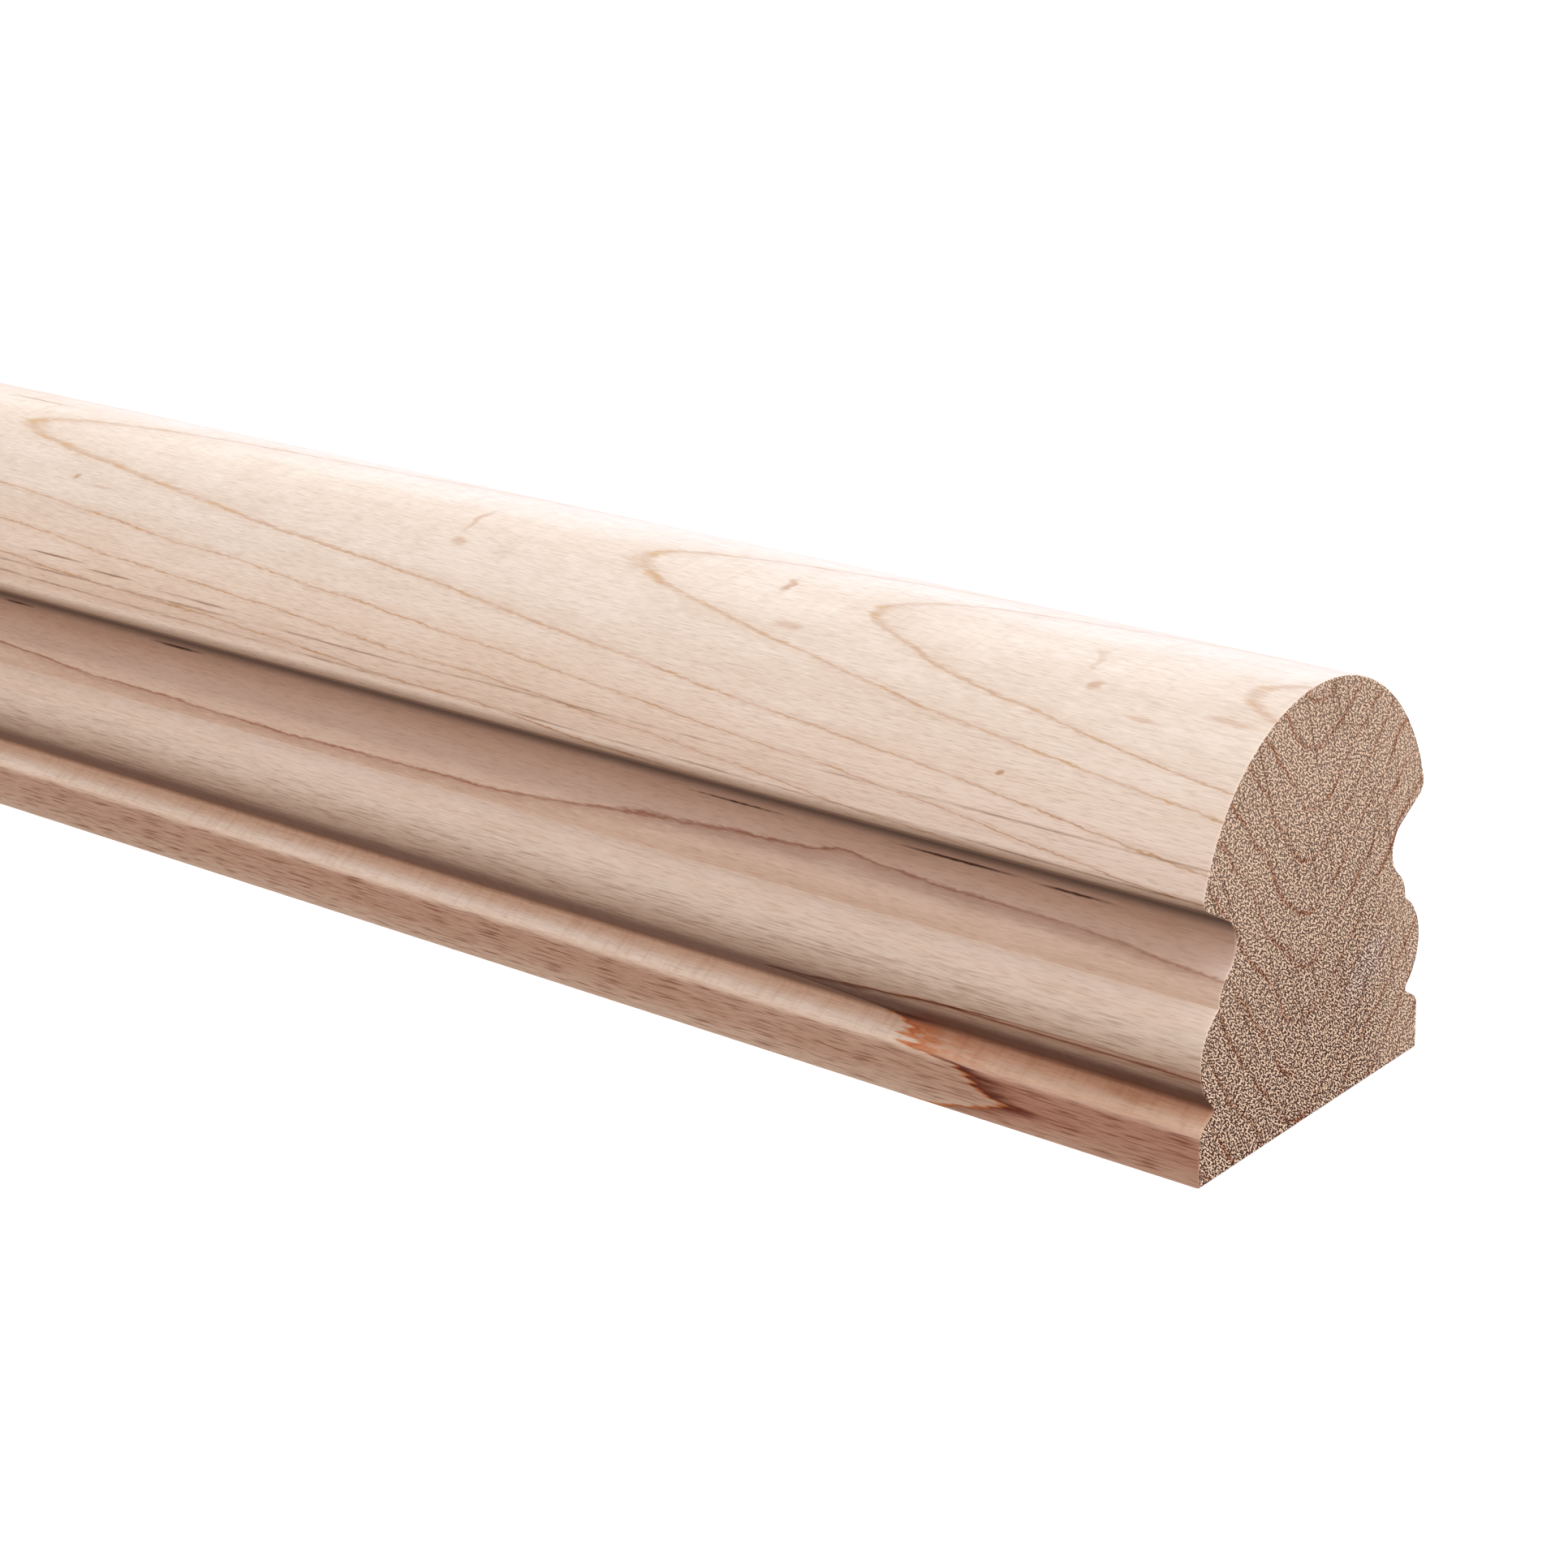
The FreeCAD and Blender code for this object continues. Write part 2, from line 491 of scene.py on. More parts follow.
# Share of each point that lies in one of the spots
def spotMask(tree, ragged, spots):
    mask = None
    for middle, length, width, depth in spots:
        apart = addNode(tree, vectorMaths, ragged, middle, operation="SUBTRACT")
        shrunk = addNode(tree, vectorMaths, apart, (1 / length, 1 / width, 1 / width), operation="MULTIPLY")
        away = addNode(tree, vectorMaths, shrunk, operation="LENGTH").outputs["Value"]
        spot = addNode(tree, mapRange, away, *spotEdge, depth, **softly)
        mask = spot if mask is None else addNode(tree, maths, mask, spot, operation="MAXIMUM")
    return mask


# Share of heart stain, of the rim and the dark front where it begins, and of the flames behind the front
def heartMasks(tree, place, x, y, z):
    size = heartStain
    share = addNode(tree, mapRange, z, 0.0, size["top"], 0.0, 1.0)
    reach = addNode(tree, "ShaderNodeFloatCurve", 1.0, share)
    curve = reach.mapping.curves[0]
    curve.points[0].location = (0.0, size["reach"][0][1] / size["farthest"])
    curve.points[1].location = (1.0, 0.0)
    for height, back in size["reach"][1:]:
        curve.points.new(height / size["top"], back / size["farthest"])
    for point in curve.points:
        point.handle_type = "VECTOR"
    reach.mapping.update()
    jagged = woodStreaks(tree, place, *size["jagGrain"])
    jag = addNode(tree, mapRange, jagged, 0.0, 1.0, -size["jag"], size["jag"])
    ragged = addNode(tree, maths, x, jag, operation="ADD")
    into = addNode(tree, maths, reach, size["farthest"], ragged, operation="MULTIPLY_ADD")
    belowTop = addNode(tree, mapRange, z, *size["topFade"])
    onFront = addNode(tree, mapRange, y, *ramps["frontHalf"], belowTop)
    inside = addNode(tree, mapRange, into, *size["inside"], onFront, **softly)
    atRim = fadedBand(tree, into, *size["rim"])
    rim = addNode(tree, maths, atRim, onFront, operation="MULTIPLY")
    behind = addNode(tree, mapRange, into, *size["front"], **softly)
    front = addNode(tree, maths, inside, behind, operation="MULTIPLY")
    licking = addNode(tree, mapRange, into, *size["flame"])
    flame = addNode(tree, maths, inside, licking, operation="MULTIPLY")
    return inside, rim, front, flame


# Planed maple: pale pinkish cream with a soft sheen, thin tan growth lines that arch over the crown,
# short fine flecks along the grain, painted shade in the tight hollows, a painted highlight along the lip and
# a redder heart at one foot.
def makeLongGrain():
    material, tree, shader, place = newMaterial("maplePlanedLongGrain")
    x, y, z = addNode(tree, "ShaderNodeSeparateXYZ", place).outputs
    streaks = {name: woodStreaks(tree, place, *size) for name, size in grain.items()}
    band = {name: fadedBand(tree, z, *heights) for name, heights in bands.items()}

    # Wander of the layers about their true place, less on top where they lie nearly along the surface
    wander = 0.0
    for name, reach in longGrain["wander"].items():
        swing = addNode(tree, mapRange, streaks[name], 0.0, 1.0, -reach, reach, clamp=False)
        wander = addNode(tree, maths, swing, wander, operation="ADD")
    calm = addNode(tree, mapRange, z, *ramps["calm"])
    crownLine, crownShade = crownGrowth(tree, place, addNode(tree, maths, wander, calm, operation="MULTIPLY"))
    coveLine, coveShade = coveGrowth(tree, place, wander)

    # Crown layers show on the crown and under the base, the cove's layer between
    aboveLip = addNode(tree, mapRange, z, *ramps["aboveLip"])
    underBase = addNode(tree, mapRange, z, *ramps["underBase"])
    onCrown = addNode(tree, maths, aboveLip, underBase, operation="MAXIMUM")

    # Patches where a line is strong or nearly lost
    strength = addNode(tree, mapRange, streaks["patch"], *ramps["lineStrength"])
    crownLineHere = addNode(tree, maths, crownLine, onCrown, operation="MULTIPLY")
    softer = addNode(tree, mapRange, z, *ramps["topLines"], strength, shares["topLines"])
    crownLines = addNode(tree, maths, crownLineHere, softer, operation="MULTIPLY")
    crownShadeHere = addNode(tree, maths, crownShade, onCrown, operation="MULTIPLY")
    crownShades = addNode(tree, maths, crownShadeHere, shares["crownShade"], operation="MULTIPLY")
    coveLines = addNode(tree, maths, coveLine, strength, operation="MULTIPLY")
    coveShades = addNode(tree, maths, coveShade, shares["coveShade"], operation="MULTIPLY")
    goldStrength = addNode(tree, mapRange, streaks["gold"], *ramps["goldStrength"])
    goldLines = addNode(tree, maths, crownLineHere, goldStrength, operation="MULTIPLY")

    # Fine straight lines low on the crown, fainter in places
    fineStrength = addNode(tree, mapRange, streaks["patch"], *ramps["fineStrength"])
    fine = None
    for start, climb in fineLines:
        lineHeight = addNode(tree, maths, x, climb, start, operation="MULTIPLY_ADD")
        above = addNode(tree, maths, z, lineHeight, operation="SUBTRACT")
        wandered = addNode(tree, maths, wander, shares["fineWander"], above, operation="MULTIPLY_ADD")
        away = addNode(tree, maths, wandered, operation="ABSOLUTE")
        line = addNode(tree, mapRange, away, *ramps["fineLine"])
        fine = line if fine is None else addNode(tree, maths, fine, line, operation="MAXIMUM")
    fineShown = addNode(tree, maths, fine, fineStrength, operation="MULTIPLY")

    # Broad tone along the grain and soft mottle
    mottled = addNode(
        tree, maths, streaks["mottle"], shares["mottle"], streaks["tone"], operation="MULTIPLY_ADD",
    )
    toneRamp = addNode(tree, "ShaderNodeValToRGB", mottled)
    stops = toneRamp.color_ramp.elements
    warm, middle, pale = longGrain["toneStops"]
    stops[0].position = warm
    stops[0].color = hexColour(longGrain["warmSapwood"])
    stops[1].position = pale
    stops[1].color = hexColour(longGrain["paleSapwood"])
    stops.new(middle).color = hexColour(longGrain["sapwood"])

    # The crown is a little darker away from the near end, and its lower edge paler beside it
    fartherOff = addNode(tree, mapRange, x, *ramps["fartherOff"])
    farShade = addNode(tree, maths, band["farShade"], fartherOff, operation="MULTIPLY")
    nearShare = addNode(tree, mapRange, x, *ramps["nearShare"])
    paleEdge = addNode(tree, maths, band["paleEdge"], nearShare, operation="MULTIPLY")
    paleBead = addNode(tree, maths, band["paleBead"], shares["paleBead"], operation="MULTIPLY")

    fleck = addNode(tree, mapRange, streaks["fleck"], *ramps["fleck"])
    paleFleck = addNode(tree, mapRange, streaks["fleck"], *ramps["paleFleck"])
    fibre = addNode(tree, mapRange, streaks["fibre"], *ramps["fibre"])

    # Faint curl across the grain on top of the crown, in patches
    slant = math.radians(longGrain["curlSlant"])
    slanted = addNode(tree, "ShaderNodeVectorRotate", place, (0, 0, 0), slant, rotation_type="Z_AXIS")
    curl = woodStreaks(tree, slanted, *longGrain["curlGrain"])
    onTop = addNode(tree, mapRange, z, *ramps["onTop"])
    curlShade = addNode(tree, mapRange, curl, *ramps["curl"], onTop)
    curls = addNode(tree, maths, curlShade, strength, operation="MULTIPLY")

    # Painted shade in the undercut, deepest by the cove
    shadeBelowLip = addNode(tree, maths, band["shadeBelowLip"], shares["shadeBelowLip"], operation="MULTIPLY")
    undercut = addNode(tree, maths, shadeBelowLip, band["shadeByCove"], operation="MAXIMUM")

    # Fine dark hatching on the side of the foot and low on the bead
    footTone = addNode(tree, mapRange, streaks["footTone"], *ramps["footTone"])
    foot = addNode(tree, maths, band["foot"], footTone, operation="MULTIPLY")
    beadSide = addNode(tree, maths, band["beadSide"], shares["beadSide"], operation="MULTIPLY")
    hatched = addNode(tree, maths, band["footSide"], beadSide, operation="MAXIMUM")
    hatch = addNode(tree, mapRange, streaks["hatch"], *ramps["hatch"], hatched)

    # Chatter of the cutter across the shoulder and the quirk
    chattered = addNode(tree, maths, band["chatter"], shares["chatter"], operation="MULTIPLY")
    chatter = addNode(tree, mapRange, streaks["chatter"], *ramps["chatter"], chattered)

    blots = raggedPlace(tree, place, streaks["quick"], longGrain["blotReach"])
    bruise = spotMask(tree, blots, bruises)
    slits = raggedPlace(tree, place, streaks["nubs"], longGrain["slitReach"])
    dash = spotMask(tree, slits, dashes)
    check = spotMask(tree, slits, checks)

    # Heart stain: flames on the shoulder, dark fronts above and below it, and a deeper quirk
    heart, heartRim, heartFront, heartFlame = heartMasks(tree, place, x, y, z)
    atBase = addNode(tree, mapRange, z, *ramps["heartBase"])
    baseOrTop = addNode(tree, maths, atBase, band["heartTop"], operation="MAXIMUM")
    heartLow = addNode(tree, maths, heart, baseOrTop, operation="MULTIPLY")
    heartDeep = addNode(tree, maths, heartFlame, band["footSide"], operation="MULTIPLY")
    heartShoulder = addNode(tree, maths, heart, band["shoulder"], operation="MULTIPLY")
    heartQuirk = addNode(tree, maths, heart, band["heartQuirk"], operation="MULTIPLY")
    flamePatch = addNode(tree, mapRange, streaks["flame"], *ramps["flame"], band["shoulder"])
    flames = addNode(tree, maths, flamePatch, heartFlame, operation="MULTIPLY")
    offShoulder = addNode(tree, maths, 1.0, band["shoulder"], operation="SUBTRACT")
    fullFront = addNode(tree, mapRange, z, *ramps["heartFront"], offShoulder)
    frontShown = addNode(tree, maths, heartFront, fullFront, operation="MULTIPLY")

    # The thin dark line along its top
    shifted = addNode(tree, maths, wander, shares["edgeWander"], z, operation="MULTIPLY_ADD")
    overEdge = addNode(tree, maths, shifted, heartStain["edge"], operation="SUBTRACT")
    besideEdge = addNode(tree, maths, overEdge, operation="ABSOLUTE")
    edgeShown = addNode(tree, mapRange, x, *ramps["edgeShown"])
    edgeLine = addNode(tree, mapRange, besideEdge, *ramps["edgeLine"], edgeShown)
    heartEdge = addNode(tree, mapRange, y, *ramps["frontHalf"], edgeLine)

    colour = toneRamp
    for share, name, blend in (
        (paleEdge, "paleEdge", "MIX"),
        # painted highlight along the lip
        (band["wornLip"], "wornLip", "MIX"),
        (paleBead, "paleBead", "MIX"),
        (farShade, "farShade", "MULTIPLY"),
        (fibre, "fleck", "MIX"),
        (curls, "curl", "MIX"),
        (crownShades, "growthLine", "MIX"),
        (coveShades, "coveLine", "MIX"),
        (crownLines, "growthLine", "MIX"),
        (goldLines, "goldLine", "MIX"),
        (coveLines, "coveLine", "MIX"),
        (fineShown, "fineLine", "MIX"),
        (fleck, "fleck", "MIX"),
        (paleFleck, "paleFleck", "MIX"),
        (dash, "fineLine", "MIX"),
        (foot, "foot", "MULTIPLY"),
        (hatch, "hatch", "MULTIPLY"),
        (chatter, "chatter", "MULTIPLY"),
        # painted shade in the cove
        (band["hollow"], "hollow", "MULTIPLY"),
        # painted shade under the lip
        (undercut, "undercut", "MULTIPLY"),
        # painted shade under the bead and in the quirk
        (band["burnish"], "burnish", "MULTIPLY"),
        (band["quirkRed"], "quirkRed", "MULTIPLY"),
        (heartLow, "heart", "MULTIPLY"),
        (heartDeep, "heart", "MULTIPLY"),
        (heartShoulder, "heartShoulder", "MULTIPLY"),
        (heartQuirk, "heartQuirk", "MULTIPLY"),
        (heartRim, "heartFlame", "MULTIPLY"),
        (flames, "heartFlame", "MULTIPLY"),
        (frontShown, "heartFront", "MULTIPLY"),
        (heartEdge, "heartEdge", "MULTIPLY"),
        (bruise, "bruise", "MULTIPLY"),
        (check, "check", "MULTIPLY"),
    ):
        tint = hexColour(longGrain[name])
        colour = addNode(tree, mix, share, colour, tint, data_type="RGBA", blend_type=blend)
    tree.links.new(colour.outputs["Result"], shader.inputs["Base Color"])
    strengthAndDepth = (longGrain["bumpStrength"], longGrain["bumpDepth"])
    bump = addNode(tree, "ShaderNodeBump", *strengthAndDepth, bumpFilter, streaks["fleck"], invert=True)
    tree.links.new(bump.outputs["Normal"], shader.inputs["Normal"])
    shader.inputs["Roughness"].default_value = longGrain["roughness"]
    shader.inputs["IOR"].default_value = longGrain["ior"]
    return material


# Wood as it shows on the sawn ends; millimetres
endGrain = {
    "face": "F0D9C1",
    "greyPatch": "F2E2D6",
    "pore": "3E1805",
    "ring": "C48C6A",
    "ray": "9A7862",
    "ringTip": (0.0, 57.0),
    "leftArm": (0.0, -0.78, -0.62),
    "rightArm": (0.0, 0.70, -0.71),
    "ringRounding": 14.0,
    "firstRing": 14.7,
    "ringSpacing": 5.1,
    "ringWidth": 0.1,  # of the spacing
    "ringShake": (0.0, 4.0, 4.0),
    "shakeGrain": (40.0, 7.0, 1.0),
    "patchGrain": (40.0, 6.0, 2.0),
    "ringPatch": (0.35, 0.6, 0.2, 0.95),
    "rayCentre": (58.0, -131.0),
    "rayFineness": 520.0,
    "rayDrift": 0.05,
    "rayShare": (0.6, 0.7, 0.0, 0.85),
    "nickAlong": (0.0, 0.77, -0.64),
    "nickAcross": (0.0, 0.64, 0.77),
    "nickSpacing": (0.54, 0.22),  # along and across
    "nickEdge": (0.43, 0.50, 0.0),
    "depthUpward": (60.0, 8.0, 0.8, 1.0),
    "depthAcross": (14.0, 22.0, 1.0, 0.85),
    "greyMiddle": (0.0, 14.0, 17.0),
    "greySize": (6.5, 4.2),
    "greyTurn": 35.0,
    "greyShare": (1.15, 0.5, 0.0, 0.7),
    "roughness": 0.75,
    "ior": 1.5,
    "bumpStrength": 0.4,
    "bumpDepth": 0.0002,
}


# Sawn end grain: duller and browner than the sides, peppered with dark pores,
# with thin rings like a rounded V
def makeEndGrain():
    material, tree, shader, place = newMaterial("mapleSawnEndGrain")
    y, z = addNode(tree, "ShaderNodeSeparateXYZ", place).outputs[1:]
    size = endGrain

    # Two slanting families of rings meet in a rounded V
    shaken = raggedPlace(tree, place, woodStreaks(tree, place, *size["shakeGrain"]), size["ringShake"])
    fromTip = addNode(tree, vectorMaths, shaken, (0.0, *size["ringTip"]), operation="SUBTRACT")
    left = addNode(tree, vectorMaths, fromTip, size["leftArm"], operation="DOT_PRODUCT").outputs["Value"]
    right = addNode(tree, vectorMaths, fromTip, size["rightArm"], operation="DOT_PRODUCT").outputs["Value"]
    ringDepth = addNode(tree, maths, left, right, size["ringRounding"], operation="SMOOTH_MAX")
    nextRing = size["firstRing"] + size["ringSpacing"]
    ringNumber = addNode(tree, mapRange, ringDepth, size["firstRing"], nextRing, 0.0, 1.0, clamp=False)
    fromRing = addNode(tree, maths, ringNumber, 0.5, operation="PINGPONG")
    ringLine = addNode(tree, mapRange, fromRing, size["ringWidth"], 0.0, 0.0, 1.0, **softly)
    ringPatch = addNode(tree, mapRange, woodStreaks(tree, place, *size["patchGrain"]), *size["ringPatch"])
    ring = addNode(tree, maths, ringLine, ringPatch, operation="MULTIPLY")

    # Rays fan out from far below
    rayAcross = addNode(tree, maths, y, size["rayCentre"][0], operation="SUBTRACT")
    rayUp = addNode(tree, maths, z, size["rayCentre"][1], operation="SUBTRACT")
    rayAngle = addNode(tree, maths, rayAcross, rayUp, operation="ARCTAN2")
    rayTurn = addNode(tree, maths, rayAngle, size["rayFineness"], operation="MULTIPLY")
    rayRun = addNode(tree, maths, rayUp, size["rayDrift"], operation="MULTIPLY")
    rayNoise = addNode(tree, noise, addNode(tree, "ShaderNodeCombineXYZ", rayTurn, rayRun), 1.0, 1.0)
    ray = addNode(tree, mapRange, rayNoise, *size["rayShare"])

    # Pores are slanting nicks, coarser than real ones, or they would not show.
    # They are deeper low down and to the left.
    nickAlong = addNode(tree, vectorMaths, place, size["nickAlong"], operation="DOT_PRODUCT")
    nickAcross = addNode(tree, vectorMaths, place, size["nickAcross"], operation="DOT_PRODUCT")
    nickPlace = addNode(
        tree, "ShaderNodeCombineXYZ",
        addNode(tree, maths, nickAlong.outputs["Value"], size["nickSpacing"][0], operation="DIVIDE"),
        addNode(tree, maths, nickAcross.outputs["Value"], size["nickSpacing"][1], operation="DIVIDE"),
    )
    nicks = addNode(tree, noise, nickPlace, 1.0, 0.0, noise_dimensions="2D")
    depthUpward = addNode(tree, mapRange, z, *size["depthUpward"])
    depthAcross = addNode(tree, mapRange, y, *size["depthAcross"])
    nickDepth = addNode(tree, maths, depthUpward, depthAcross, operation="MULTIPLY")
    pores = addNode(tree, mapRange, nicks, *size["nickEdge"], nickDepth)

    # A greyish patch low on the right
    toGrey = addNode(tree, vectorMaths, shaken, size["greyMiddle"], operation="SUBTRACT")
    greyTurn = math.radians(-size["greyTurn"])
    turnedGrey = addNode(tree, "ShaderNodeVectorRotate", toGrey, (0, 0, 0), greyTurn, rotation_type="X_AXIS")
    inverse = (0.0, 1 / size["greySize"][0], 1 / size["greySize"][1])
    greyAway = addNode(tree, vectorMaths, turnedGrey, inverse, operation="MULTIPLY")
    greyLength = addNode(tree, vectorMaths, greyAway, operation="LENGTH").outputs["Value"]
    grey = addNode(tree, mapRange, greyLength, *size["greyShare"])

    colour = hexColour(size["face"])
    for share, name, blend in (
        (grey, "greyPatch", "MIX"),
        (pores, "pore", "MIX"),
        (ring, "ring", "MULTIPLY"),
        (ray, "ray", "MULTIPLY"),
    ):
        tint = hexColour(size[name])
        colour = addNode(tree, mix, share, colour, tint, data_type="RGBA", blend_type=blend)
    tree.links.new(colour.outputs["Result"], shader.inputs["Base Color"])
    bump = addNode(
        tree, "ShaderNodeBump", size["bumpStrength"], size["bumpDepth"], bumpFilter, pores, invert=True,
    )
    tree.links.new(bump.outputs["Normal"], shader.inputs["Normal"])
    shader.inputs["Roughness"].default_value = size["roughness"]
    shader.inputs["IOR"].default_value = size["ior"]
    return material


# Fineness of the rail's mesh and of its sawn ends
railMesh = {
    "capRings": 42,
    "arrisSteps": 3,
    "sideStations": 40,  # on each half of the length
    "bunching": 2.5,  # of the stations towards the ends
    "arris": 0.00025,  # radius that sanding leaves on the sawn edge
    "heart": 0.0242,  # height of the point that sees the whole outline
    "sawDepth": 0.00012,
    "sawFineness": (1.0, 900.0, 260.0),  # finer across the end than up it
    "sawCut": (0.35, 0.65, 0.0),
    "crease": 32.0,
    "weld": 0.000002,
    "endFacing": 0.85,  # share of x in the normal from which a face counts as an end
    "seed": 5,
}


# One grid is wrapped round the section: out over one end, along the sides and in over the other end.
def makeRailTree():
    tree = bpy.data.node_groups.new("railSweep", "GeometryNodeTree")
    for name, kind in (
        ("Section", "NodeSocketObject"),
        ("Outline Points", "NodeSocketInt"),
        ("Cap Rings", "NodeSocketInt"),
        ("Arris Steps", "NodeSocketInt"),
        ("Side Stations", "NodeSocketInt"),
        ("Bunching", "NodeSocketFloat"),
        ("Length", "NodeSocketFloat"),
        ("Arris", "NodeSocketFloat"),
        ("Heart Height", "NodeSocketFloat"),
        ("Saw Depth", "NodeSocketFloat"),
        ("Seed", "NodeSocketInt"),
        ("Side Material", "NodeSocketMaterial"),
        ("End Material", "NodeSocketMaterial"),
    ):
        tree.interface.new_socket(name, in_out="INPUT", socket_type=kind)
    tree.interface.new_socket("Geometry", in_out="OUTPUT", socket_type="NodeSocketGeometry")
    given = addNode(tree, "NodeGroupInput").outputs

    # Rows from the middle of one end to the middle of the rail, and back out again
    capAndArris = addNode(tree, maths, given["Cap Rings"], given["Arris Steps"], operation="ADD")
    halfRows = addNode(tree, maths, capAndArris, given["Side Stations"], operation="ADD")
    rows = addNode(tree, maths, halfRows, 2.0, 1.0, operation="MULTIPLY_ADD")
    columns = addNode(tree, maths, given["Outline Points"], 1.0, operation="ADD")
    grid = addNode(tree, "GeometryNodeMeshGrid", 1.0, 1.0, columns, rows)
    gridPlace = addNode(tree, "ShaderNodeSeparateXYZ", addNode(tree, "GeometryNodeInputPosition"))

    # Column number picks a point of the outline
    across = addNode(tree, maths, gridPlace.outputs["X"], 0.5, operation="ADD")
    columnExact = addNode(tree, maths, across, given["Outline Points"], operation="MULTIPLY")
    columnWhole = addNode(tree, maths, columnExact, operation="ROUND")
    column = addNode(tree, maths, columnWhole, given["Outline Points"], operation="MODULO")
    outline = addNode(tree, "GeometryNodeObjectInfo", given["Section"])
    outlineAt = addNode(
        tree, "GeometryNodeSampleIndex", outline.outputs["Geometry"],
        addNode(tree, "GeometryNodeInputPosition"), column, data_type="FLOAT_VECTOR", domain="POINT",
    )

    # Row number counted in from the nearer end
    rowSigned = addNode(tree, maths, gridPlace.outputs["Y"], 2.0, operation="MULTIPLY")
    rowAway = addNode(tree, maths, rowSigned, operation="ABSOLUTE")
    rowLeft = addNode(tree, maths, 1.0, rowAway, operation="SUBTRACT")
    rowExact = addNode(tree, maths, rowLeft, halfRows, operation="MULTIPLY")
    row = addNode(tree, maths, rowExact, operation="ROUND")
    facing = addNode(tree, maths, rowSigned, operation="SIGN")

    capShare = addNode(tree, maths, row, given["Cap Rings"], operation="DIVIDE", use_clamp=True)
    pastCap = addNode(tree, maths, row, given["Cap Rings"], operation="SUBTRACT")
    arrisShare = addNode(tree, maths, pastCap, given["Arris Steps"], operation="DIVIDE", use_clamp=True)
    arrisTurn = addNode(tree, maths, arrisShare, math.pi / 2, operation="MULTIPLY")
    pastArris = addNode(tree, maths, row, capAndArris, operation="SUBTRACT")
    stationShare = addNode(tree, maths, pastArris, given["Side Stations"], operation="DIVIDE", use_clamp=True)
    sideShare = addNode(tree, maths, stationShare, given["Bunching"], operation="POWER")

    # The arris is a quarter round between the end and the sides
    arrisSine = addNode(tree, maths, arrisTurn, operation="SINE")
    arrisCosine = addNode(tree, maths, arrisTurn, operation="COSINE")
    insetTurn = addNode(tree, maths, 1.0, arrisSine, operation="SUBTRACT")
    inset = addNode(tree, maths, given["Arris"], insetTurn, operation="MULTIPLY")
    setBackTurn = addNode(tree, maths, 1.0, arrisCosine, operation="SUBTRACT")
    setBack = addNode(tree, maths, given["Arris"], setBackTurn, operation="MULTIPLY")
    heart = addNode(tree, "ShaderNodeCombineXYZ", 0.0, 0.0, given["Heart Height"])
    spoke = addNode(tree, vectorMaths, outlineAt, heart, operation="SUBTRACT")
    spokeLength = addNode(tree, vectorMaths, spoke, operation="LENGTH").outputs["Value"]
    insetShare = addNode(tree, maths, inset, spokeLength, operation="DIVIDE")
    reach = addNode(tree, maths, capShare, insetShare, operation="SUBTRACT")
    reachKept = addNode(tree, maths, reach, 0.0, operation="MAXIMUM")
    spread = addNode(tree, vectorMaths, spoke, reachKept, operation="SCALE")
    inSection = addNode(tree, vectorMaths, spread, heart, operation="ADD")

    # Saw marks and torn fibres only ever cut in from the end plane
    sawPlace = addNode(tree, vectorMaths, inSection, railMesh["sawFineness"], operation="MULTIPLY")
    saw = addNode(tree, noise, sawPlace, given["Seed"], 1.0, 2.0, noise_dimensions="4D")
    sawCut = addNode(tree, mapRange, saw, *railMesh["sawCut"], given["Saw Depth"])
    onCap = addNode(tree, maths, row, given["Cap Rings"], operation="LESS_THAN")
    sawBack = addNode(tree, maths, sawCut, onCap, operation="MULTIPLY")

    half = addNode(tree, maths, given["Length"], 0.5, operation="MULTIPLY")
    straight = addNode(tree, maths, half, given["Arris"], operation="SUBTRACT")
    run = addNode(tree, maths, straight, sideShare, setBack, operation="MULTIPLY_ADD")
    back = addNode(tree, maths, run, sawBack, operation="ADD")
    fromMiddle = addNode(tree, maths, half, back, operation="SUBTRACT")
    along = addNode(tree, maths, fromMiddle, facing, operation="MULTIPLY")
    lengthwise = addNode(tree, "ShaderNodeCombineXYZ", along)
    placed = addNode(tree, vectorMaths, inSection, lengthwise, operation="ADD")

    wrapped = addNode(tree, "GeometryNodeSetPosition", grid, None, placed)
    closed = addNode(tree, "GeometryNodeMergeByDistance", wrapped, None, railMesh["weld"])

    # Smooth over the arcs, crisp at the step, the base and the arris
    exceeds = {"data_type": "FLOAT", "operation": "GREATER_THAN"}
    edgeAngle = addNode(tree, "GeometryNodeInputMeshEdgeAngle").outputs["Unsigned Angle"]
    creased = addNode(tree, "FunctionNodeCompare", edgeAngle, math.radians(railMesh["crease"]), **exceeds)
    smooth = addNode(tree, "GeometryNodeSetShadeSmooth", closed, None, True)
    shaded = addNode(tree, "GeometryNodeSetShadeSmooth", smooth, creased, False, domain="EDGE")

    normal = addNode(tree, "ShaderNodeSeparateXYZ", addNode(tree, "GeometryNodeInputNormal"))
    endwise = addNode(tree, maths, normal.outputs["X"], operation="ABSOLUTE")
    isEnd = addNode(tree, "FunctionNodeCompare", endwise, railMesh["endFacing"], **exceeds)
    plain = addNode(tree, "GeometryNodeRealizeInstances", shaded)
    sided = addNode(tree, "GeometryNodeSetMaterial", plain, None, given["Side Material"])
    ended = addNode(tree, "GeometryNodeSetMaterial", sided, isEnd, given["End Material"])
    addNode(tree, "NodeGroupOutput", ended)
    return tree


